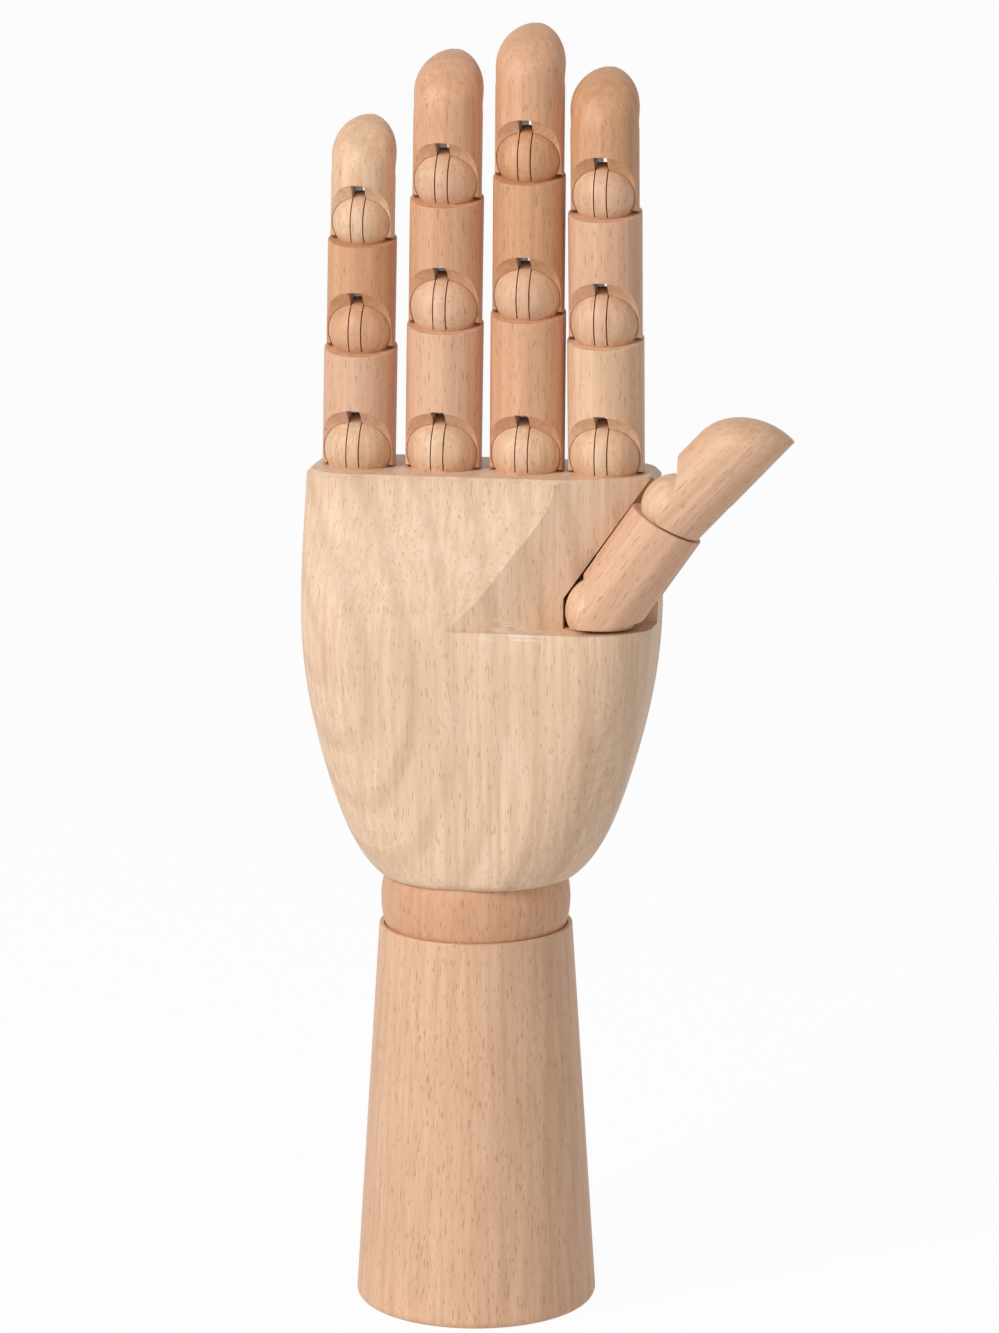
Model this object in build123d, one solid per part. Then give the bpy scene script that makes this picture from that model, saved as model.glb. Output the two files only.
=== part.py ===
from build123d import *
import os
from dataclasses import dataclass
from math import cos, radians, sin, sqrt

# A jointed wooden hand on a turned forearm. Millimetres, +Z up, origin at the centre of the foot's underside.
# The palm faces -Y and the thumb is on the +X side.

# Forearm: a turned cone with a round socket in its top and a stepped bore for the wrist bolt
FOREARM_HEIGHT = 100.5
FOREARM_FOOT_DIAMETER = 62.6
FOREARM_TOP_DIAMETER = 49.8
FOREARM_FOOT_ROUND = 2.2
FOREARM_TOP_ROUND = 0.5

# Wrist: a wooden ball between forearm and palm, turning on a bolt and tilting on a cross pin
WRIST_BALL_DIAMETER = 48.8
WRIST_BALL_SINK = 6.6
WRIST_SOCKET_CLEARANCE = 0.3
WRIST_BOLT_DIAMETER = 8.0
WRIST_BOLT_GRIP = 12.0
WRIST_BOLT_FIT = 0.05
WRIST_TONGUE_THICKNESS = 8.0
WRIST_TONGUE_WIDTH = 18.0
WRIST_TONGUE_FIT = 0.15
WRIST_TONGUE_RISE = 44.0
WRIST_PIN_DIAMETER = 5.0
WRIST_PIN_LENGTH = 36.0
WRIST_TILT_ROOM = 24.0
NUT_POCKET_DIAMETER = 24.0
NUT_POCKET_DEPTH = 34.0
NUT_ACROSS_FLATS = 13.0
NUT_HEIGHT = 6.5
NUT_GAP = 0.2
SPRING_DISC_DIAMETER = 20.0
SPRING_DISC_THICKNESS = 1.5
SPRING_DISC_RISE = 1.6
FOOT_PLUG_THICKNESS = 5.0

# Palm: sections from the heel to the finger row, each at a share of the palm's height
PALM_HEEL_GAP = 13.5
PALM_HEIGHT = 105.0
PALM_HEEL_ROUND = 2.8
PALM_TOP_BEVEL = 1.2


@dataclass(frozen=True)
class PalmSection:
    rise_share: float
    half_width: float
    half_depth: float
    corner: float
    shift: float
    forward: float


PALM_SECTIONS = (
    PalmSection(0.0, 24.9, 24.7, 24.4, 0.8, 0.0),
    PalmSection(0.082, 31.9, 25.0, 23.6, 1.0, 0.3),
    PalmSection(0.202, 37.0, 24.6, 22.0, 1.2, 0.8),
    PalmSection(0.366, 41.6, 24.2, 20.0, 1.6, 2.0),
    PalmSection(0.588, 44.9, 23.4, 17.0, 2.2, 3.4),
    PalmSection(0.809, 45.2, 20.2, 14.5, 2.2, 2.0),
    PalmSection(1.0, 44.6, 17.3, 12.5, 2.2, 0.0),
)

# Hinges of the fingers and the thumb: a slotted ball below, two steel plates above, one cross pin
BALL_INSET = 0.55
BALL_SEAT = 4.5
BALL_CLEARANCE = 0.15
BODY_SETBACK = 0.5
RIM_SLOPE = 11.0
SKIRT_GAP = 0.4
SKIRT_SWING_CLEARANCE = 0.25
RIM_ROUND = 0.3
TENON_DIAMETER = 8.0
TENON_LENGTH = 5.5
TENON_FIT = 0.02
SLIT_OFFSET = 1.6
SLIT_WIDTH = 0.32
SLIT_FLOOR = 0.5
PLATE_THICKNESS = 0.22
PLATE_WIDTH = 5.6
PLATE_REACH = 12.6
PIN_DIAMETER = 2.0
PIN_INSET = 1.2
PIN_FIT = 0.02
PLATE_FIT = 0.06
KERF_RISE = 1.8
COVE_RADIUS = 14.7
COVE_FORWARD = 16.6
COVE_DROP = 2.0

# Rounded finger ends: level ovals that shrink towards the back of the finger, one for each angle
TIP_OVAL_RISE = 1.1
TIP_PAD_LENGTH = 15.0
TIP_ANGLES = (0, 15, 30, 45, 60, 72, 83)

# Finger row
FINGER_ROW_Y = -2.0
PHALANX_NAMES = ("proximal", "middle", "tip")


@dataclass(frozen=True)
class Finger:
    name: str
    x: float
    fan: float
    radii: tuple
    lengths: tuple


FINGERS = (
    Finger("little", -29.7, 1.2, (9.3, 8.7, 8.1), (30.4, 27.4, 30.6)),
    Finger("ring", -7.9, 0.9, (9.7, 9.3, 8.7), (36.8, 31.6, 36.6)),
    Finger("middle", 13.6, 0.4, (9.5, 9.1, 8.7), (40.0, 34.4, 37.4)),
    Finger("index", 33.8, -0.5, (9.7, 9.3, 8.6), (33.8, 31.8, 35.6)),
)

# Thumb
THUMB_BASE_X = 34.8
THUMB_BASE_Y = -14.5
THUMB_LEDGE_DROP = 37.6
THUMB_LEAN = 34.8
THUMB_PROXIMAL_RADIUS = 9.6
THUMB_TIP_RADIUS = 9.2
THUMB_CENTRE_DISTANCE = 32.6
THUMB_RIM_SLOPE = 6.0
THUMB_BACK_BEND = 8.4
THUMB_TIP_LENGTH = 33.0
THUMB_SWING = 8.0
THUMB_COVE_DROP = 7.0
THUMB_SIDE_ROOM = 0.4
THUMB_BACK_ROOM = 0.6
THUMB_SCOOP_START = (-2.0, -26.0)
THUMB_SCOOP_START_ANGLE = 6.0
THUMB_SCOOP_TURN = 17.0
THUMB_SCOOP_RADIUS = 42.0

# Heights and radii that follow from the sizes above
WRIST_BALL_RADIUS = WRIST_BALL_DIAMETER / 2
WRIST_CENTRE_Z = FOREARM_HEIGHT + WRIST_BALL_SINK
PALM_BOTTOM_Z = FOREARM_HEIGHT + PALM_HEEL_GAP
PALM_TOP_Z = PALM_BOTTOM_Z + PALM_HEIGHT
LEDGE_Z = PALM_TOP_Z - THUMB_LEDGE_DROP
KERF_WIDTH = 2 * SLIT_OFFSET + PLATE_THICKNESS
PIN_RADIUS = PIN_DIAMETER / 2
FAR = 400.0


def below(plane):
    """A block that fills everything under a plane."""
    return plane * Pos(0, 0, -FAR / 2) * Box(FAR, FAR, FAR)


def above(plane):
    """A block that fills everything over a plane."""
    return plane * Pos(0, 0, FAR / 2) * Box(FAR, FAR, FAR)


def cross_rod(radius, length, y=0.0, z=0.0):
    """A rod along X, the hinge direction."""
    return Pos(0, y, z) * Rot(0, 90, 0) * Cylinder(radius, length)


def rim_plane(seat, slope, roll=0.0, lift=0.0):
    """The plane that a ball sits on, under a hinge centre, lower at the palm side by the slope."""
    normal = Vector(0, 0, 1).rotate(Axis.X, slope).rotate(Axis.Y, roll)
    return Plane(origin=Vector(0, 0, -seat) + normal * lift, z_dir=normal)


def ball_radius(phalanx_radius):
    return phalanx_radius - BALL_INSET


def hinge_plate_faces(reach, width):
    """The outline of one hinge plate, a slot shape from the pin up to its far end."""
    return Plane.YZ * Pos(0, reach / 2) * Rot(0, 0, 90) * SlotCenterToCenter(reach, width)


def hinge_plate_blanks():
    """The two plates of a hinge without their pin holes."""
    outline = hinge_plate_faces(PLATE_REACH, PLATE_WIDTH)
    plates = [
        Pos(side * SLIT_OFFSET - PLATE_THICKNESS / 2, 0, 0) * extrude(outline, PLATE_THICKNESS, dir=(1, 0, 0))
        for side in (-1, 1)
    ]
    return plates


def hinge_plates():
    """The two steel plates of a hinge, drilled for the pin."""
    hole = cross_rod(PIN_RADIUS + PLATE_FIT, 4 * SLIT_OFFSET)
    return Compound([plate - hole for plate in hinge_plate_blanks()])


def hinge_pin(phalanx_radius):
    """The cross pin of a hinge, shorter than the ball is wide."""
    return cross_rod(PIN_RADIUS, 2 * (ball_radius(phalanx_radius) - PIN_INSET))


def tenon(fit=0.0):
    """The round tenon under a ball, or with a fit the hole that takes it."""
    length = TENON_LENGTH + fit
    return Pos(0, 0, -BALL_SEAT - length / 2) * Cylinder(TENON_DIAMETER / 2 + fit, length)


def hinge_ball(phalanx_radius, slope, roll=0.0):
    """A knuckle ball on its rim, with a tenon below and two saw slits for the hinge plates."""
    radius = ball_radius(phalanx_radius)
    rim = rim_plane(BALL_SEAT, slope, roll)
    ball = Sphere(radius) - below(rim)
    ball += tenon() & below(rim)
    slit_floor = rim_plane(BALL_SEAT, slope, roll, SLIT_FLOOR)
    for side in (-1, 1):
        slit = Pos(side * SLIT_OFFSET, 0, 0) * Box(SLIT_WIDTH, 3 * radius, 3 * radius)
        ball -= slit & above(slit_floor)
    return ball - cross_rod(PIN_RADIUS + PIN_FIT, 2 * (radius - PIN_INSET) + 2 * PIN_FIT)


def swing_relief(radius, slope, roll, swing):
    """The room a skirt needs to pass over the rim below: at its palm side, or for a swing at its back."""
    if swing is not None:
        return Rot(swing, 0, 0) * below(rim_plane(BALL_SEAT, slope, roll, SKIRT_SWING_CLEARANCE))
    level = Plane(origin=(0, 0, 0), x_dir=(1, 0, 0), z_dir=rim_plane(BALL_SEAT, slope, roll).z_dir)
    quarter = level * Pos(0, -radius, -radius) * Box(4 * radius, 2 * radius, 2 * radius)
    return quarter - cross_rod(BALL_SEAT * cos(radians(slope)) - SKIRT_SWING_CLEARANCE, 5 * radius)


def hinge_cuts(radius, slope, roll=0.0, swing=None):
    """What is cut from the lower end of a phalanx: rim, ball recess, cove, kerf and plate slots."""
    ball = ball_radius(radius)
    kerf_top = ball + KERF_RISE
    cove_drop = COVE_DROP if swing is None else THUMB_COVE_DROP
    cuts = [
        below(rim_plane(BALL_SEAT, slope, roll, SKIRT_GAP)),
        swing_relief(radius, slope, roll, swing),
        Sphere(ball + BALL_CLEARANCE),
        cross_rod(COVE_RADIUS, 4 * radius, y=-COVE_FORWARD, z=-cove_drop),
        Pos(0, 0, kerf_top - 2 * radius) * Box(KERF_WIDTH, 4 * radius, 4 * radius),
    ]
    return cuts + hinge_plate_blanks()


def rod_between(radius, low, high):
    """A round finger rod set back from its hinge centre."""
    return Pos(0, BODY_SETBACK, (low + high) / 2) * Cylinder(radius, high - low)


def phalanx(radius, top_rise, top_slope, slope, roll=0.0, swing=None):
    """A finger rod between two hinges; its upper rim carries the next ball."""
    top = rim_plane(-top_rise, top_slope)
    rod = rod_between(radius, -2 * radius, top_rise + radius) - above(top)
    rim_edge = rod.faces().sort_by(Axis.Z)[-1].edges()
    rod = fillet(rim_edge, RIM_ROUND)
    for cut in hinge_cuts(radius, slope, roll, swing):
        rod -= cut
    return rod - Pos(0, 0, top_rise + BALL_SEAT) * tenon(TENON_FIT)


def rounded_end(radius, top_rise):
    """The round top of a finger end: steep at the back and a long curve at the pad."""
    oval_rise = TIP_OVAL_RISE * radius
    ovals = []
    for angle in TIP_ANGLES:
        z = top_rise - TIP_PAD_LENGTH * (1 - sin(radians(angle)))
        half_depth = radius * cos(radians(angle))
        share = max(0.0, 1 - (top_rise - z) / oval_rise)
        half_width = radius * sqrt(1 - share**2)
        ovals.append(Pos(0, BODY_SETBACK + radius - half_depth, z) * Ellipse(half_width, half_depth))
    return loft(ovals)


def finger_end(radius, top_rise, slope, roll=0.0):
    """A finger end: a round rod with a smoothly rounded top."""
    rod = rod_between(radius, -2 * radius, top_rise - TIP_PAD_LENGTH)
    rod += rounded_end(radius, top_rise)
    for cut in hinge_cuts(radius, slope, roll):
        rod -= cut
    return rod


def forearm():
    """The turned forearm with its wrist socket, bolt bore and nut pocket."""
    cone = Cone(FOREARM_FOOT_DIAMETER / 2, FOREARM_TOP_DIAMETER / 2, FOREARM_HEIGHT)
    body = Pos(0, 0, FOREARM_HEIGHT / 2) * cone
    body = fillet(body.edges().sort_by(Axis.Z)[0], FOREARM_FOOT_ROUND)
    body -= Pos(0, 0, WRIST_CENTRE_Z) * Sphere(WRIST_BALL_RADIUS + WRIST_SOCKET_CLEARANCE)
    rim = body.edges().filter_by(GeomType.CIRCLE).group_by(Axis.Z)[-1].sort_by(SortBy.RADIUS)[-1]
    body = fillet(rim, FOREARM_TOP_ROUND)
    body -= Pos(0, 0, FOREARM_HEIGHT / 2) * Cylinder(WRIST_BOLT_DIAMETER / 2 + WRIST_BOLT_FIT, FOREARM_HEIGHT)
    return body - Pos(0, 0, NUT_POCKET_DEPTH / 2) * Cylinder(NUT_POCKET_DIAMETER / 2, NUT_POCKET_DEPTH)


def foot_plug():
    """The wooden disc that closes the nut pocket, level with the foot."""
    return Pos(0, 0, FOOT_PLUG_THICKNESS / 2) * Cylinder(
        NUT_POCKET_DIAMETER / 2, FOOT_PLUG_THICKNESS
    )


def wrist_bolt_span():
    """Lower and upper end of the wrist bolt."""
    low = NUT_POCKET_DEPTH - SPRING_DISC_RISE - SPRING_DISC_THICKNESS - NUT_HEIGHT - 2 * NUT_GAP
    high = WRIST_CENTRE_Z - WRIST_BALL_RADIUS + WRIST_BOLT_GRIP
    return low, high


def wrist_bolt():
    """The bolt glued into the wrist ball, running down through the forearm."""
    low, high = wrist_bolt_span()
    return Pos(0, 0, (low + high) / 2) * Cylinder(WRIST_BOLT_DIAMETER / 2, high - low)


def spring_disc():
    """A dished steel spring disc that keeps the wrist tight."""
    base_z = NUT_POCKET_DEPTH - SPRING_DISC_RISE - SPRING_DISC_THICKNESS - NUT_GAP
    inner = WRIST_BOLT_DIAMETER / 2 + WRIST_BOLT_FIT
    outer = SPRING_DISC_DIAMETER / 2
    section = Polyline(
        (inner, base_z),
        (outer, base_z + SPRING_DISC_RISE),
        (outer, base_z + SPRING_DISC_RISE + SPRING_DISC_THICKNESS),
        (inner, base_z + SPRING_DISC_THICKNESS),
        close=True,
    )
    return revolve(Plane.XZ * make_face(section), Axis.Z)


def wrist_nut():
    """The hexagon nut under the spring disc."""
    top_z = NUT_POCKET_DEPTH - SPRING_DISC_RISE - SPRING_DISC_THICKNESS - 2 * NUT_GAP
    outline = RegularPolygon(NUT_ACROSS_FLATS / 2, 6, major_radius=False)
    outline -= Circle(WRIST_BOLT_DIAMETER / 2 + WRIST_BOLT_FIT)
    return extrude(Pos(0, 0, top_z - NUT_HEIGHT) * outline, NUT_HEIGHT)


def wrist_pin():
    """The cross pin of the wrist's tilt."""
    return cross_rod(WRIST_PIN_DIAMETER / 2, WRIST_PIN_LENGTH, z=WRIST_CENTRE_Z)


def wrist_tongue_blank(fit=0.0):
    """The wrist tongue without its pin hole, or with a fit the mortise that takes it."""
    outline = hinge_plate_faces(WRIST_TONGUE_RISE, WRIST_TONGUE_WIDTH + 2 * fit)
    thickness = WRIST_TONGUE_THICKNESS + 2 * fit
    return Pos(-thickness / 2, 0, WRIST_CENTRE_Z) * extrude(outline, thickness, dir=(1, 0, 0))


def wrist_tongue():
    """The flat wooden tongue that joins palm and wrist ball."""
    hole = cross_rod(WRIST_PIN_DIAMETER / 2 + PLATE_FIT, 2 * WRIST_TONGUE_THICKNESS, z=WRIST_CENTRE_Z)
    return wrist_tongue_blank() - hole


def wrist_ball():
    """The wrist ball with its tongue slot, pin hole and bolt hole."""
    ball = Pos(0, 0, WRIST_CENTRE_Z) * Sphere(WRIST_BALL_RADIUS)
    slot_width = WRIST_TONGUE_THICKNESS + 2 * WRIST_TONGUE_FIT
    turn_radius = WRIST_TONGUE_WIDTH / 2 + 2 * WRIST_TONGUE_FIT
    slot = cross_rod(turn_radius, slot_width, z=WRIST_CENTRE_Z)
    for tilt in (-WRIST_TILT_ROOM, 0, WRIST_TILT_ROOM):
        lane = Pos(0, 0, WRIST_BALL_RADIUS) * Box(slot_width, 2 * turn_radius, 2 * WRIST_BALL_RADIUS)
        slot += Pos(0, 0, WRIST_CENTRE_Z) * Rot(tilt, 0, 0) * lane
    ball -= slot
    ball -= cross_rod(WRIST_PIN_DIAMETER / 2 + PIN_FIT, WRIST_PIN_LENGTH + 2 * PIN_FIT, z=WRIST_CENTRE_Z)
    low, high = wrist_bolt_span()
    bolt_hole = Cylinder(WRIST_BOLT_DIAMETER / 2 + PIN_FIT, high - low + 2 * PIN_FIT)
    return ball - Pos(0, 0, (low + high) / 2) * bolt_hole


def finger_frame(finger):
    """The place of a finger's base hinge, its centre a ball seat above the palm's top."""
    return Pos(finger.x, FINGER_ROW_Y, PALM_TOP_Z + BALL_SEAT) * Rot(0, finger.fan, 0)


def thumb_frame():
    """The place of the thumb's base hinge; its palm side looks up and towards the fingers."""
    centre = (THUMB_BASE_X, THUMB_BASE_Y, LEDGE_Z + BALL_SEAT)
    return Pos(*centre) * Rot(0, THUMB_LEAN, 0) * Rot(0, 0, -90)


def thumb_tip_frame():
    """The place of the thumb's upper hinge, bent back a little."""
    return thumb_frame() * Pos(0, 0, THUMB_CENTRE_DISTANCE) * Rot(-THUMB_BACK_BEND, 0, 0)


def thumb_slot():
    """The narrow slot that the thumb lies in, open to the front and to the thumb's outer side."""
    centre = Pos(THUMB_BASE_X, LEDGE_Z + BALL_SEAT)
    wall = THUMB_PROXIMAL_RADIUS - BODY_SETBACK + THUMB_SIDE_ROOM
    ball_wall = ball_radius(THUMB_PROXIMAL_RADIUS) + THUMB_SIDE_ROOM
    outline = centre * Rot(0, 0, -THUMB_LEAN) * Pos(FAR / 2 - wall, 0) * Rectangle(FAR, FAR)
    outline &= centre * Pos(FAR / 2 - ball_wall, 0) * Rectangle(FAR, FAR)
    back_y = THUMB_BASE_Y + THUMB_PROXIMAL_RADIUS + THUMB_BACK_ROOM
    return extrude(Plane.XZ.offset(-back_y) * outline, FAR)


def thumb_scoop():
    """The shallow scoop beside the thumb: an upright curve that turns in towards it."""
    lead_angle = radians(THUMB_SCOOP_START_ANGLE)
    lead = Vector(cos(lead_angle), sin(lead_angle))
    start = Vector(*THUMB_SCOOP_START)
    curve = JernArc(start, lead, THUMB_SCOOP_RADIUS, THUMB_SCOOP_TURN)
    left, right = start - lead * FAR, curve @ 1 + (curve % 1) * FAR
    front = Polyline(right, (right.X, -FAR), (left.X, -FAR), left)
    outline = make_face([Line(left, start), curve, Line(curve @ 1, right), *front.edges()])
    return Pos(0, 0, LEDGE_Z) * extrude(outline, FAR, dir=(0, 0, 1))


def thumb_room():
    """What is milled out above the ledge for the thumb."""
    return (thumb_slot() + thumb_scoop()) & above(Plane.XY.offset(LEDGE_Z))


def palm_outline(section, inset=0.0, lift=0.0):
    """One level outline of the palm."""
    outline = RectangleRounded(
        2 * (section.half_width - inset), 2 * (section.half_depth - inset), section.corner - inset
    )
    z = PALM_BOTTOM_Z + section.rise_share * (PALM_HEIGHT - PALM_TOP_BEVEL) + lift
    return Pos(section.shift, -section.forward, z) * outline


def palm_block():
    """The palm's outer form with its rounded heel and bevelled top."""
    block = loft([palm_outline(section) for section in PALM_SECTIONS])
    block = fillet(block.faces().sort_by(Axis.Z)[0].edges(), PALM_HEEL_ROUND)
    top = PALM_SECTIONS[-1]
    return block + loft([palm_outline(top), palm_outline(top, PALM_TOP_BEVEL, PALM_TOP_BEVEL)], ruled=True)


def palm():
    """The palm with its thumb ledge and sockets for the wrist, the finger balls and the thumb's ball."""
    block = palm_block() - thumb_room()
    block -= Pos(0, 0, WRIST_CENTRE_Z) * Sphere(WRIST_BALL_RADIUS + WRIST_SOCKET_CLEARANCE)
    block -= wrist_tongue_blank()
    for finger in FINGERS:
        block -= finger_frame(finger) * tenon(TENON_FIT)
    return block - thumb_frame() * tenon(TENON_FIT)


def base_balls():
    """The four balls that stand on the palm's top."""
    return [finger_frame(f) * hinge_ball(f.radii[0], 0.0, -f.fan) for f in FINGERS]


def finger_parts(finger):
    """The named pieces of one finger above its base ball, each in its own place."""
    pieces = {}
    place = finger_frame(finger)
    slope, roll = 0.0, -finger.fan
    for level, (name, radius, length) in enumerate(zip(PHALANX_NAMES, finger.radii, finger.lengths)):
        hinge = "base" if level == 0 else name
        pieces[f"{finger.name}_{hinge}_plates"] = place * hinge_plates()
        if name == PHALANX_NAMES[-1]:
            rise = length - BALL_SEAT
            pieces[f"{finger.name}_tip"] = place * finger_end(radius, rise, slope, roll)
            continue
        top_rise = length - BALL_SEAT
        pieces[f"{finger.name}_{name}"] = place * phalanx(radius, top_rise, RIM_SLOPE, slope, roll)
        place = place * Pos(0, 0, length)
        above_name, above_radius = PHALANX_NAMES[level + 1], finger.radii[level + 1]
        pieces[f"{finger.name}_{above_name}_ball"] = place * hinge_ball(above_radius, RIM_SLOPE)
        pieces[f"{finger.name}_{above_name}_pin"] = place * hinge_pin(above_radius)
        slope, roll = RIM_SLOPE, 0.0
    return pieces


def thumb_parts():
    """The named pieces of the thumb."""
    base, tip = thumb_frame(), thumb_tip_frame()
    tip_seat = thumb_frame() * Pos(0, 0, THUMB_CENTRE_DISTANCE)
    top_rise = THUMB_CENTRE_DISTANCE - BALL_SEAT
    tip_slope = THUMB_RIM_SLOPE + THUMB_BACK_BEND
    return {
        "thumb_base_ball": base * hinge_ball(THUMB_PROXIMAL_RADIUS, THUMB_LEAN),
        "thumb_base_plates": base * hinge_plates(),
        "thumb_proximal": base
        * phalanx(THUMB_PROXIMAL_RADIUS, top_rise, THUMB_RIM_SLOPE, THUMB_LEAN, swing=THUMB_SWING),
        "thumb_tip_ball": tip_seat * hinge_ball(THUMB_TIP_RADIUS, THUMB_RIM_SLOPE),
        "thumb_tip_pin": tip_seat * hinge_pin(THUMB_TIP_RADIUS),
        "thumb_tip_plates": tip * hinge_plates(),
        "thumb_tip": tip * finger_end(THUMB_TIP_RADIUS, THUMB_TIP_LENGTH, tip_slope),
    }


def base_pins():
    """The hinge pins of the four base balls and the thumb's base ball."""
    pins = [finger_frame(f) * hinge_pin(f.radii[0]) for f in FINGERS]
    return pins + [thumb_frame() * hinge_pin(THUMB_PROXIMAL_RADIUS)]


def all_parts():
    """Every piece by name."""
    pieces = {
        "forearm": forearm(),
        "foot_plug": foot_plug(),
        "wrist_bolt": wrist_bolt(),
        "wrist_spring_disc": spring_disc(),
        "wrist_nut": wrist_nut(),
        "wrist_ball": wrist_ball(),
        "wrist_pin": wrist_pin(),
        "wrist_tongue": wrist_tongue(),
        "palm": palm(),
        "finger_base_balls": Compound(base_balls()),
        "base_hinge_pins": Compound(base_pins()),
    }
    for finger in FINGERS:
        pieces.update(finger_parts(finger))
    pieces.update(thumb_parts())
    return pieces


def main():
    os.makedirs("parts", exist_ok=True)
    for name, shape in all_parts().items():
        export_step(shape, f"parts/{name}.step")


if __name__ == "__main__":
    main()
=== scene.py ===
"""A jointed beech hand on a turned forearm, dressed and lit on a plain pale floor."""

import logging
import math
from dataclasses import dataclass
from enum import Enum
from typing import Any

import bpy
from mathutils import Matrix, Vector

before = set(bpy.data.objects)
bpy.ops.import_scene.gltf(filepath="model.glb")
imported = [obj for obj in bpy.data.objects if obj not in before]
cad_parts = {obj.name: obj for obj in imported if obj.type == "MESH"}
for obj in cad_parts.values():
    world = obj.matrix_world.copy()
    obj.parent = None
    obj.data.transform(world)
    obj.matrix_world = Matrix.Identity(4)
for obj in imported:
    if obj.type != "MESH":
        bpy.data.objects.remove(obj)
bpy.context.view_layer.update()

LOG = logging.getLogger("beech_hand")
MM_PER_METRE = 1000.0
# The wave texture's scale at which one wave is one unit long.
WAVE_PERIOD = 2.0 * math.pi / 20.0
GOLDEN_ANGLE = 2.399963
WHITE = (1.0, 1.0, 1.0, 1.0)
BLACK = (0.0, 0.0, 0.0, 1.0)
UNIT = (0.0, 1.0)
Span = tuple[float, float]
Point = tuple[float, float, float]
Colour = tuple[float, float, float, float]


def srgb_to_linear(colour: str) -> Colour:
    """Turn an sRGB hex colour into linear values with full alpha.

    Args:
        colour: The colour as "#rrggbb".

    Returns:
        Linear red, green, blue and an alpha of 1.
    """
    parts = [int(colour[i:i + 2], 16) / 255.0 for i in (1, 3, 5)]
    linear = [c / 12.92 if c <= 0.04045 else ((c + 0.055) / 1.055) ** 2.4 for c in parts]
    return linear[0], linear[1], linear[2], 1.0


def shaded(colour: Colour, factors: Point) -> Colour:
    """Multiply a linear colour channel by channel, no lighter than white."""
    red, green, blue = (min(1.0, channel * factor) for channel, factor in zip(colour, factors))
    return red, green, blue, 1.0


def between(low: Colour, high: Colour, share: float) -> Colour:
    """Give the colour at a share of the way between two linear colours."""
    return tuple(a + (b - a) * share for a, b in zip(low, high))


def along_grain(width_mm: float, length_mm: float) -> Point:
    """Give the scale of a pattern that is this wide across the grain and this long along it."""
    return 1 / width_mm, 1 / width_mm, 1 / length_mm


class Tone(Enum):
    """The board that a piece of beech was cut from, by the colour of its wood."""

    PALE = "#e6c6a9"
    CREAM = "#e2bd9c"
    HONEY = "#deb595"
    ROSE = "#dcb092"
    TAN = "#d8a784"
    AMBER = "#cf9d76"


@dataclass(frozen=True)
class Beech:
    """Sanded steamed beech: pale pinkish tan, fine grain and short brown ray flecks, a dull satin surface."""

    tone: Tone
    lean_deg: float = 0.0
    ring_spacing_mm: float = 7.0
    ring_strength: float = 0.10
    ring_span: Span = (0.6, 1.0)
    ring_wander: float = 2.2
    ring_detail: float = 2.0
    ring_detail_scale: float = 0.35
    pith_mm: Point = (9.0, 46.0, 0.0)
    pith_tilt_deg: Point = (5.0, 3.0, 0.0)
    streak_width_mm: float = 1.5
    streak_length_mm: float = 60.0
    streak_detail: float = 3.0
    streak_span: Span = (0.3, 0.7)
    streak_share: float = 0.3
    cloud_width_mm: float = 22.0
    cloud_length_mm: float = 70.0
    cloud_detail: float = 2.0
    cloud_span: Span = (0.35, 0.75)
    cloud_strength: float = 0.24
    fleck_width_mm: float = 0.38
    fleck_length_mm: float = 2.8
    fleck_detail: float = 0.0
    fleck_span: Span = (0.66, 0.76)
    fleck_strength: float = 0.55
    dark_factors: Point = (0.80, 0.72, 0.64)
    light_factors: Point = (1.07, 1.08, 1.10)
    fleck_factors: Point = (0.55, 0.42, 0.32)
    fleck_height: float = -0.5
    streak_height: float = 0.35
    bump_strength: float = 0.35
    bump_m: float = 0.00012
    roughness: float = 0.5
    smoother_by: float = 0.07
    rougher_by: float = 0.09
    refraction: float = 1.5


@dataclass(frozen=True)
class Steel:
    """Plain cold-rolled steel strip and wire: grey, with a fine drawn grain that spreads its reflections."""

    colour: str = "#8d8c8a"
    dull_share: float = 0.72
    grain_mm: float = 0.4
    grain_stretch: float = 12.0
    grain_detail: float = 2.0
    roughness: float = 0.42
    roughness_spread: float = 0.1


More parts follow.
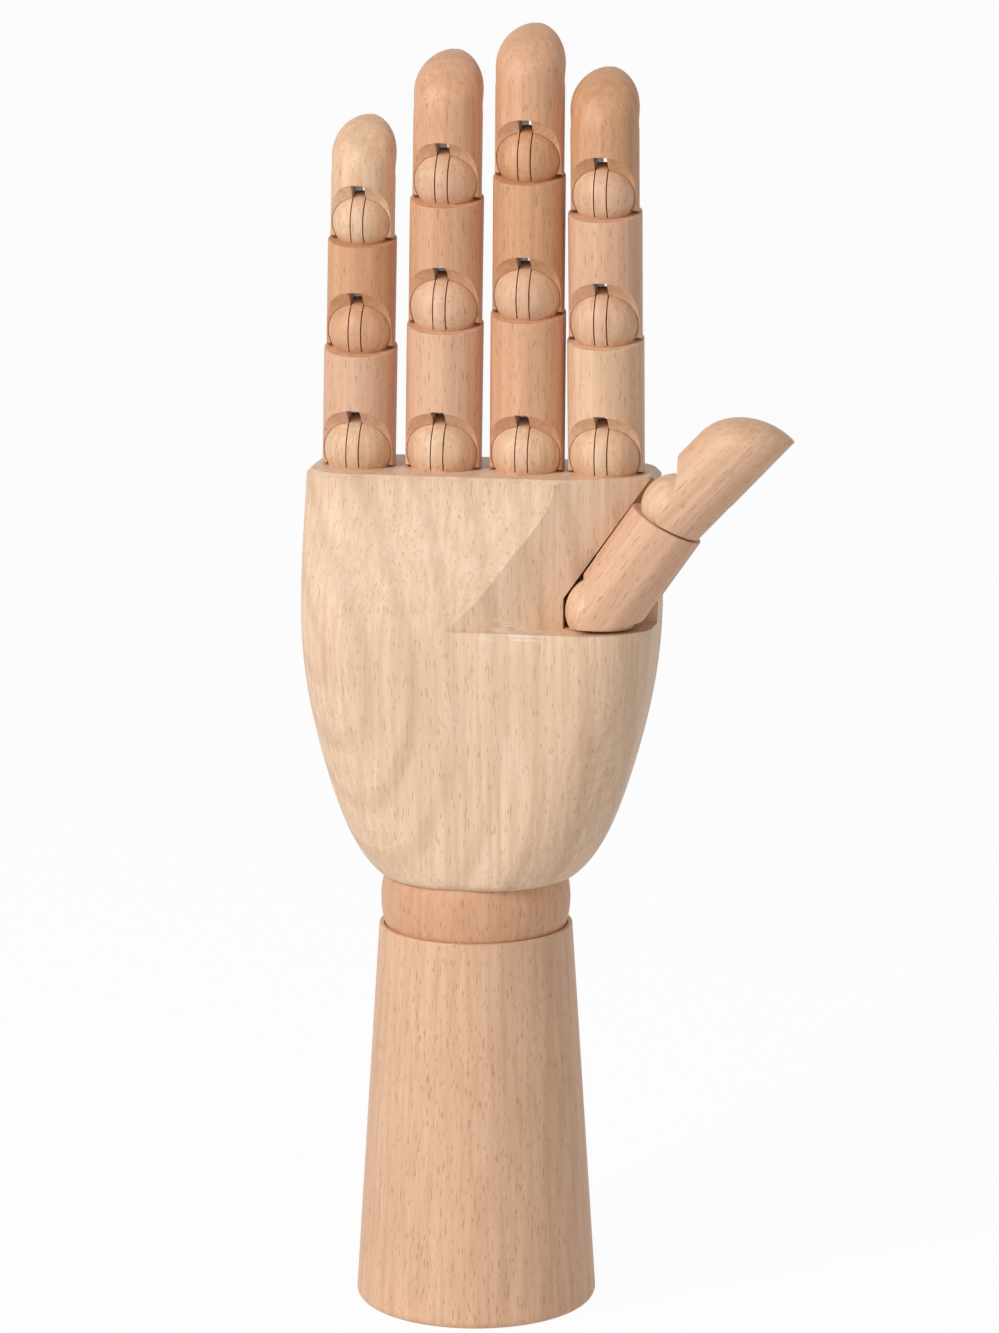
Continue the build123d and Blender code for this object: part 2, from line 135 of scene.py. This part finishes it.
@dataclass
class NodeTree:
    """The nodes of a material or a sky, added one by one with their settings and links."""

    owner: bpy.types.Material | bpy.types.World

    def __post_init__(self) -> None:
        """Start from an empty tree."""
        self.owner.use_nodes = True
        self.tree = self.owner.node_tree
        self.tree.nodes.clear()

    def add(self, kind: str, settings: dict[str, Any] | None = None, **inputs: Any) -> bpy.types.Node:
        """Add a node, set its properties and set or link its inputs.

        Args:
            kind: The node's type name.
            settings: Node properties by name.
            **inputs: Values or source sockets, by socket name with underscores for spaces or by i and number.

        Returns:
            The new node.
        """
        node = self.tree.nodes.new(kind)
        for name, value in (settings or {}).items():
            setattr(node, name, value)
        for name, value in inputs.items():
            is_number = name[0] == "i" and name[1:].isdigit()
            socket = node.inputs[int(name[1:])] if is_number else node.inputs[name.replace("_", " ")]
            if isinstance(value, bpy.types.NodeSocket):
                self.tree.links.new(value, socket)
            else:
                socket.default_value = value
        return node

    def mapped(self, place: Any, **inputs: Any) -> Any:
        """Move, turn or scale coordinates and give the new ones."""
        return self.add("ShaderNodeMapping", None, Vector=place, **inputs).outputs[0]

    def noise(self, place: Any, detail: float) -> Any:
        """Give a noise of one lump per unit."""
        return self.add("ShaderNodeTexNoise", None, Vector=place, Scale=1.0, Detail=detail).outputs[0]

    def remap(self, value: Any, span: Span, onto: Span = UNIT) -> Any:
        """Stretch a value from one span to another, held at the ends."""
        return self.add(
            "ShaderNodeMapRange", None, Value=value, From_Min=span[0], From_Max=span[1], To_Min=onto[0],
            To_Max=onto[1],
        ).outputs[0]

    def times(self, first: Any, second: Any) -> Any:
        """Multiply two values."""
        return self.add("ShaderNodeMath", {"operation": "MULTIPLY"}, i0=first, i1=second).outputs[0]

    def times_plus(self, first: Any, second: Any, added: Any) -> Any:
        """Multiply two values and add a third."""
        return self.add(
            "ShaderNodeMath", {"operation": "MULTIPLY_ADD"}, i0=first, i1=second, i2=added
        ).outputs[0]

    def larger(self, first: Any, second: Any) -> Any:
        """Give the larger of two values."""
        return self.add("ShaderNodeMath", {"operation": "MAXIMUM"}, i0=first, i1=second).outputs[0]

    def mix(self, share: Any, first: Any, second: Any) -> Any:
        """Mix two colours, the share going to the second."""
        return self.add("ShaderNodeMix", {"data_type": "RGBA"}, i0=share, i6=first, i7=second).outputs[2]


class WoodShop:
    """Makes the wood and steel materials and puts them on the CAD pieces."""

    BOARD_SPREAD_MM = 130.0
    BOARD_STEP_MM = 71.0

    def __init__(self) -> None:
        """Start with no boards cut."""
        self.boards_cut = 0

    def board_offset(self) -> Point:
        """Give the next piece its own place in the plank, so that no two pieces share their grain."""
        self.boards_cut += 1
        turn = self.boards_cut * GOLDEN_ANGLE
        spread = self.BOARD_SPREAD_MM
        return spread * math.cos(turn), spread * math.sin(turn), self.BOARD_STEP_MM * self.boards_cut

    @staticmethod
    def growth_rings(nodes: NodeTree, grain_place: Any, finish: Beech) -> Any:
        """Draw the growth rings around the pith.

        Args:
            nodes: The wood's node tree.
            grain_place: Coordinates in millimetres, turned along the grain.
            finish: The wood's pith, ring spacing and ring strength.

        Returns:
            A socket with the amount of ring line.
        """
        tilt = tuple(math.radians(angle) for angle in finish.pith_tilt_deg)
        pith = tuple(-value for value in finish.pith_mm)
        pith_place = nodes.mapped(grain_place, Location=pith)
        rings = nodes.add(
            "ShaderNodeTexWave", {"wave_type": "RINGS", "rings_direction": "Z", "wave_profile": "SIN"},
            Vector=nodes.mapped(pith_place, Rotation=tilt), Scale=WAVE_PERIOD / finish.ring_spacing_mm,
            Distortion=finish.ring_wander, Detail=finish.ring_detail, Detail_Scale=finish.ring_detail_scale,
        )
        return nodes.times(nodes.remap(rings.outputs[1], finish.ring_span), finish.ring_strength)

    def beech(self, name: str, finish: Beech, marks_and_shade: "PalmMarksAndShade | None" = None) -> bpy.types.Material:
        """Make the beech of one piece.

        Args:
            name: The piece's name.
            finish: The wood's colours and the sizes of its grain.
            marks_and_shade: Cutter marks and painted scoop shade to add, for the palm only.

        Returns:
            The finished material.
        """
        material = bpy.data.materials.new(f"sanded_beech_{name}")
        nodes = NodeTree(material)
        place = nodes.add("ShaderNodeTexCoord").outputs["Object"]
        turn = (0.0, math.radians(-finish.lean_deg), 0.0)
        grain_place = nodes.mapped(place, Rotation=turn, Scale=(MM_PER_METRE,) * 3)
        board_place = nodes.mapped(grain_place, Location=self.board_offset())

        streak_scale = along_grain(finish.streak_width_mm, finish.streak_length_mm)
        streaks = nodes.noise(nodes.mapped(board_place, Scale=streak_scale), finish.streak_detail)
        cloud_scale = along_grain(finish.cloud_width_mm, finish.cloud_length_mm)
        clouds = nodes.noise(nodes.mapped(board_place, Scale=cloud_scale), finish.cloud_detail)
        fleck_scale = along_grain(finish.fleck_width_mm, finish.fleck_length_mm)
        fleck_noise = nodes.noise(nodes.mapped(board_place, Scale=fleck_scale), finish.fleck_detail)
        flecks = nodes.remap(fleck_noise, finish.fleck_span)
        rings = self.growth_rings(nodes, grain_place, finish)

        base = srgb_to_linear(finish.tone.value)
        darker = shaded(base, finish.dark_factors)
        lighter = shaded(base, finish.light_factors)
        fleck_colour = shaded(base, finish.fleck_factors)
        streak_colour = between(darker, lighter, finish.streak_share)
        colour = nodes.mix(nodes.remap(streaks, finish.streak_span), streak_colour, lighter)
        cloud_tint = nodes.remap(clouds, finish.cloud_span, (0.0, finish.cloud_strength))
        colour = nodes.mix(cloud_tint, colour, darker)
        colour = nodes.mix(rings, colour, fleck_colour)
        colour = nodes.mix(nodes.times(flecks, finish.fleck_strength), colour, fleck_colour)

        height = nodes.times(flecks, finish.fleck_height)
        height = nodes.times_plus(streaks, finish.streak_height, height)
        if marks_and_shade is not None:
            colour, height = marks_and_shade.draw(nodes, place, colour, height)
        bump = nodes.add(
            "ShaderNodeBump", None, Height=height, Strength=finish.bump_strength, Distance=finish.bump_m
        )
        shine = (finish.roughness - finish.smoother_by, finish.roughness + finish.rougher_by)
        shader = nodes.add(
            "ShaderNodeBsdfPrincipled", None, Base_Color=colour, IOR=finish.refraction,
            Roughness=nodes.remap(streaks, UNIT, shine), Normal=bump.outputs[0],
        )
        nodes.add("ShaderNodeOutputMaterial", None, Surface=shader.outputs[0])
        return material

    @staticmethod
    def steel(name: str, finish: Steel) -> bpy.types.Material:
        """Make the steel of the hinge plates, pins and bolt.

        Args:
            name: The material's name.
            finish: The steel's colour and grain.

        Returns:
            The finished material.
        """
        material = bpy.data.materials.new(f"drawn_steel_{name}")
        nodes = NodeTree(material)
        place = nodes.add("ShaderNodeTexCoord").outputs["Object"]
        fine = MM_PER_METRE / finish.grain_mm
        grain_place = nodes.mapped(place, Scale=(fine, fine, fine / finish.grain_stretch))
        grain = nodes.noise(grain_place, finish.grain_detail)
        base = srgb_to_linear(finish.colour)
        dull = between(BLACK, base, finish.dull_share)
        shine = (finish.roughness - finish.roughness_spread, finish.roughness + finish.roughness_spread)
        shader = nodes.add(
            "ShaderNodeBsdfPrincipled", None, Base_Color=nodes.mix(grain, dull, base), Metallic=1.0,
            Roughness=nodes.remap(grain, UNIT, shine),
        )
        nodes.add("ShaderNodeOutputMaterial", None, Surface=shader.outputs[0])
        return material

    @staticmethod
    def dress(node: str, material: bpy.types.Material) -> None:
        """Put a material in every slot of a CAD node.

        Args:
            node: The CAD node's name.
            material: What it gets.
        """
        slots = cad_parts[node].data.materials
        for index in range(len(slots)):
            slots[index] = material
        if not slots:
            slots.append(material)
        LOG.info("%s wears %s", node, material.name)


@dataclass(frozen=True)
class PalmMarksAndShade:
    """What the cutters left on the palm (torn grain at the ledge's end and chatter along the rounded side),
    and painted shade in the scoop beside the thumb's base ball.
    """

    # Painted shade: a warm darker patch in the scoop beside the thumb's base ball, standing in for the
    # hollow's shade.
    scoop_shade_mm: Point = (24.0, -17.0, 192.0)
    scoop_shade_reach_mm: Point = (12.0, 16.0, 20.0)
    shade_and_chatter_colour: str = "#d99a66"
    scoop_shade_strength: float = 0.2
    fibre_scale: Point = (900.0, 900.0, 60.0)
    fibre_detail: float = 3.0
    runout_mm: Point = (14.0, -24.0, 181.5)
    runout_reach_mm: Point = (13.0, 9.0, 4.2)
    runout_colour: str = "#efdcc8"
    runout_strength: float = 0.65
    runout_height: float = 2.0
    torn_turn_deg: float = 14.0
    torn_scale: Point = (160.0, 500.0, 1300.0)
    torn_detail: float = 4.0
    torn_span: Span = (0.44, 0.62)
    chatter_mm: Point = (36.0, -18.0, 147.0)
    chatter_reach_mm: Point = (8.0, 12.0, 27.0)
    chatter_turn_deg: float = 24.0
    chatter_spacing_mm: float = 3.4
    chatter_span: Span = (0.72, 1.0)
    chatter_wander: float = 3.0
    chatter_detail: float = 1.0
    chatter_detail_scale: float = 0.25
    chatter_strength: float = 0.22
    chatter_height: float = -1.6
    soft_edge: float = 0.35

    def patch(self, nodes: NodeTree, place: Any, centre: Point, reach: Point) -> Any:
        """Make a soft-edged patch on the palm.

        Args:
            nodes: The palm's node tree.
            place: The Object coordinate socket.
            centre: The patch's middle in millimetres.
            reach: How far it goes each way, in millimetres.

        Returns:
            A socket that is 1 in the middle and 0 outside.
        """
        scale = tuple(MM_PER_METRE / value for value in reach)
        start = tuple(-middle / value for middle, value in zip(centre, reach))
        near = nodes.mapped(place, Location=start, Scale=scale)
        far = nodes.add("ShaderNodeVectorMath", {"operation": "LENGTH"}, i0=near)
        fade = nodes.add(
            "ShaderNodeMapRange", {"interpolation_type": "SMOOTHSTEP"}, Value=far.outputs["Value"],
            From_Min=self.soft_edge, From_Max=1.0, To_Min=1.0, To_Max=0.0,
        )
        return fade.outputs[0]

    def torn_grain(self, nodes: NodeTree, place: Any) -> Any:
        """Give the amount of torn grain at the inner end of the thumb's ledge."""
        runout = self.patch(nodes, place, self.runout_mm, self.runout_reach_mm)
        turn = (0.0, math.radians(self.torn_turn_deg), 0.0)
        torn = nodes.noise(nodes.mapped(place, Rotation=turn, Scale=self.torn_scale), self.torn_detail)
        return nodes.times(runout, nodes.remap(torn, self.torn_span))

    def chatter(self, nodes: NodeTree, place: Any) -> Any:
        """Give the amount of cutter chatter along the palm's rounded side."""
        patch = self.patch(nodes, place, self.chatter_mm, self.chatter_reach_mm)
        turn = (0.0, math.radians(self.chatter_turn_deg), 0.0)
        waves = nodes.add(
            "ShaderNodeTexWave", {"wave_type": "BANDS", "bands_direction": "Z"},
            Vector=nodes.mapped(place, Rotation=turn, Scale=(MM_PER_METRE,) * 3),
            Scale=WAVE_PERIOD / self.chatter_spacing_mm, Distortion=self.chatter_wander,
            Detail=self.chatter_detail, Detail_Scale=self.chatter_detail_scale,
        )
        return nodes.times(patch, nodes.remap(waves.outputs[1], self.chatter_span))

    def draw(self, nodes: NodeTree, place: Any, colour: Any, height: Any) -> tuple[Any, Any]:
        """Add the marks and the painted scoop shade to the palm's colour and height.

        Args:
            nodes: The palm's node tree.
            place: The Object coordinate socket.
            colour: The wood's colour so far.
            height: The wood's height so far.

        Returns:
            The new colour and height sockets.
        """
        shade_and_chatter_colour = srgb_to_linear(self.shade_and_chatter_colour)
        # Painted shade in the scoop beside the thumb, streaked with fibre noise.
        painted_scoop_shade = self.patch(nodes, place, self.scoop_shade_mm, self.scoop_shade_reach_mm)
        fibres = nodes.noise(nodes.mapped(place, Scale=self.fibre_scale), self.fibre_detail)
        painted_scoop_shade_tint = nodes.times(nodes.times(painted_scoop_shade, fibres), self.scoop_shade_strength)
        colour = nodes.mix(painted_scoop_shade_tint, colour, shade_and_chatter_colour)
        runout = self.torn_grain(nodes, place)
        runout_tint = nodes.times(runout, self.runout_strength)
        colour = nodes.mix(runout_tint, colour, srgb_to_linear(self.runout_colour))
        chatter = self.chatter(nodes, place)
        # The chatter lines are real cutter marks, tinted with the same colour as the painted scoop shade.
        colour = nodes.mix(nodes.times(chatter, self.chatter_strength), colour, shade_and_chatter_colour)
        height = nodes.times_plus(runout, self.runout_height, height)
        height = nodes.times_plus(chatter, self.chatter_height, height)
        return colour, height


@dataclass
class Forearm:
    """The turned stand with its foot plug."""

    wood: Beech = Beech(Tone.HONEY, ring_strength=0.12, pith_mm=(14.0, 30.0, 0.0))
    plug_wood: Beech = Beech(Tone.TAN)

    def dress(self, shop: WoodShop) -> None:
        """Put wood on the stand and its plug."""
        shop.dress("forearm", shop.beech("forearm", self.wood))
        shop.dress("foot_plug", shop.beech("foot_plug", self.plug_wood))


@dataclass
class Wrist:
    """The ball between forearm and palm, its tongue and its steel."""

    ball_wood: Beech = Beech(Tone.TAN, ring_strength=0.08)
    tongue_wood: Beech = Beech(Tone.CREAM)
    steel_pieces: tuple[str, ...] = ("wrist_bolt", "wrist_spring_disc", "wrist_nut", "wrist_pin")

    def dress(self, shop: WoodShop, steel: bpy.types.Material) -> None:
        """Put wood on the ball and tongue and steel on the rest."""
        shop.dress("wrist_ball", shop.beech("wrist_ball", self.ball_wood))
        shop.dress("wrist_tongue", shop.beech("wrist_tongue", self.tongue_wood))
        for node in self.steel_pieces:
            shop.dress(node, steel)


THUMB_LEAN_DEG = 34.8
THUMB_TIP_LEAN_DEG = 43.2


@dataclass
class Palm:
    """The palm block and the balls that stand on it."""

    wood: Beech = Beech(
        Tone.PALE, ring_spacing_mm=11.0, ring_strength=0.22, pith_mm=(-40.0, -22.0, 176.0),
        pith_tilt_deg=(38.0, 6.0, 0.0), fleck_strength=0.45,
    )
    ball_wood: Beech = Beech(Tone.CREAM)
    thumb_ball_wood: Beech = Beech(Tone.CREAM, lean_deg=THUMB_LEAN_DEG)
    marks_and_shade: PalmMarksAndShade = PalmMarksAndShade()

    def dress(self, shop: WoodShop, steel: bpy.types.Material) -> None:
        """Put wood on the block and balls and steel on the base pins."""
        shop.dress("palm", shop.beech("palm", self.wood, self.marks_and_shade))
        shop.dress("finger_base_balls", shop.beech("finger_base_balls", self.ball_wood))
        shop.dress("thumb_base_ball", shop.beech("thumb_base_ball", self.thumb_ball_wood))
        shop.dress("base_hinge_pins", steel)


@dataclass
class Finger:
    """One finger: the tones of its three rods and of the two balls between them."""

    name: str
    rods: tuple[Tone, Tone, Tone]
    balls: tuple[Tone, Tone]
    pieces: tuple[str, str, str] = ("proximal", "middle", "tip")

    def dress(self, shop: WoodShop, steel: bpy.types.Material) -> None:
        """Put wood on the rods and balls and steel on the hinges."""
        for piece, tone in zip(self.pieces, self.rods):
            node = f"{self.name}_{piece}"
            shop.dress(node, shop.beech(node, Beech(tone)))
        for piece, tone in zip(self.pieces[1:], self.balls):
            node = f"{self.name}_{piece}_ball"
            shop.dress(node, shop.beech(node, Beech(tone)))
            shop.dress(f"{self.name}_{piece}_pin", steel)
        for hinge in ("base",) + self.pieces[1:]:
            shop.dress(f"{self.name}_{hinge}_plates", steel)


@dataclass
class Thumb:
    """The thumb, its grain along its own lean."""

    low_wood: Beech = Beech(Tone.ROSE, lean_deg=THUMB_LEAN_DEG)
    ball_wood: Beech = Beech(Tone.CREAM, lean_deg=THUMB_LEAN_DEG)
    tip_wood: Beech = Beech(Tone.HONEY, lean_deg=THUMB_TIP_LEAN_DEG)
    steel_pieces: tuple[str, ...] = ("thumb_base_plates", "thumb_tip_plates", "thumb_tip_pin")

    def dress(self, shop: WoodShop, steel: bpy.types.Material) -> None:
        """Put wood on the rods and ball and steel on the hinges."""
        shop.dress("thumb_proximal", shop.beech("thumb_proximal", self.low_wood))
        shop.dress("thumb_tip_ball", shop.beech("thumb_tip_ball", self.ball_wood))
        shop.dress("thumb_tip", shop.beech("thumb_tip", self.tip_wood))
        for node in self.steel_pieces:
            shop.dress(node, steel)


@dataclass(frozen=True)
class Lamp:
    """One soft square lamp."""

    name: str
    at_m: Point
    side_m: float
    power_w: float

    def hang(self, aim_m: Point) -> None:
        """Hang the lamp and point it.

        Args:
            aim_m: What it points at, in metres.
        """
        data = bpy.data.lights.new(self.name, "AREA")
        data.size = self.side_m
        data.energy = self.power_w
        lamp = bpy.data.objects.new(self.name, data)
        lamp.location = self.at_m
        lamp.rotation_euler = (Vector(aim_m) - Vector(self.at_m)).to_track_quat("-Z", "Y").to_euler()
        bpy.context.scene.collection.objects.link(lamp)


@dataclass
class Studio:
    """A plain pale floor, soft light from the upper left and the camera."""

    floor_size_m: float = 30.0
    floor_colour: str = "#f4f3f1"
    floor_white_share: float = 0.95
    sky_strength: float = 0.33
    key_lamp: Lamp = Lamp("key_lamp", (-1.15, -1.5, 1.3), 1.0, 35.5)
    fill_lamp: Lamp = Lamp("fill_lamp", (1.5, -1.5, 0.7), 1.4, 4.5)
    lamp_aim_m: Point = (0.0, 0.0, 0.18)
    camera_at_m: Point = (0.2326, -1.2312, 0.428)
    camera_pitch_deg: float = -11.75
    camera_turn_deg: float = 10.42
    lens_mm: float = 135.3
    sensor_mm: float = 36.0

    def build_floor(self) -> None:
        """Lay a wide pale floor that shows white to the camera and keeps a soft shadow."""
        bpy.ops.object.select_all(action="DESELECT")
        bpy.ops.mesh.primitive_plane_add(size=self.floor_size_m)
        floor = bpy.context.active_object
        floor.name = "studio_floor"
        material = bpy.data.materials.new("matt_paper_floor")
        nodes = NodeTree(material)
        paper = nodes.add("ShaderNodeBsdfDiffuse", None, Color=srgb_to_linear(self.floor_colour))
        white = nodes.add("ShaderNodeEmission", None, Color=WHITE, Strength=1.0)
        rays = nodes.add("ShaderNodeLightPath").outputs
        seen = nodes.larger(rays["Is Camera Ray"], rays["Is Glossy Ray"])
        share = nodes.times(seen, self.floor_white_share)
        mix = nodes.add("ShaderNodeMixShader", None, i0=share, i1=paper.outputs[0], i2=white.outputs[0])
        nodes.add("ShaderNodeOutputMaterial", None, Surface=mix.outputs[0])
        floor.data.materials.append(material)

    def build_sky(self) -> None:
        """Set an even pale sky that the camera and mirrored rays see as white."""
        world = bpy.data.worlds.new("studio_sky")
        nodes = NodeTree(world)
        rays = nodes.add("ShaderNodeLightPath").outputs
        mirrored = nodes.larger(rays["Is Glossy Ray"], rays["Is Transmission Ray"])
        seen = nodes.larger(rays["Is Camera Ray"], mirrored)
        strength = nodes.remap(seen, UNIT, (self.sky_strength, 1.0))
        background = nodes.add("ShaderNodeBackground", None, Color=WHITE, Strength=strength)
        nodes.add("ShaderNodeOutputWorld", None, Surface=background.outputs[0])
        bpy.context.scene.world = world

    def build_camera(self) -> None:
        """Put the camera where the photograph was taken from."""
        data = bpy.data.cameras.new("camera")
        data.lens = self.lens_mm
        data.sensor_width = self.sensor_mm
        data.sensor_fit = "AUTO"
        camera = bpy.data.objects.new("camera", data)
        camera.location = self.camera_at_m
        pitch = math.radians(90.0 + self.camera_pitch_deg)
        camera.rotation_euler = (pitch, 0.0, math.radians(self.camera_turn_deg))
        bpy.context.scene.collection.objects.link(camera)
        bpy.context.scene.camera = camera

    def build(self) -> None:
        """Build the floor, a large key lamp, a weak fill, the sky and the camera."""
        self.build_floor()
        for lamp in (self.key_lamp, self.fill_lamp):
            lamp.hang(self.lamp_aim_m)
        self.build_sky()
        self.build_camera()
        bpy.context.scene.view_settings.view_transform = "Standard"


FINGERS = (
    Finger("little", (Tone.ROSE, Tone.AMBER, Tone.CREAM), (Tone.TAN, Tone.CREAM)),
    Finger("ring", (Tone.ROSE, Tone.TAN, Tone.TAN), (Tone.HONEY, Tone.HONEY)),
    Finger("middle", (Tone.TAN, Tone.AMBER, Tone.TAN), (Tone.HONEY, Tone.AMBER)),
    Finger("index", (Tone.CREAM, Tone.ROSE, Tone.AMBER), (Tone.HONEY, Tone.HONEY)),
)


def main() -> None:
    """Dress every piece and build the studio."""
    logging.basicConfig(level=logging.INFO)
    Studio().build()
    shop = WoodShop()
    steel = shop.steel("hinges", Steel())
    Forearm().dress(shop)
    Wrist().dress(shop, steel)
    Palm().dress(shop, steel)
    for finger in FINGERS:
        finger.dress(shop, steel)
    Thumb().dress(shop, steel)


if __name__ == "__main__":
    main()
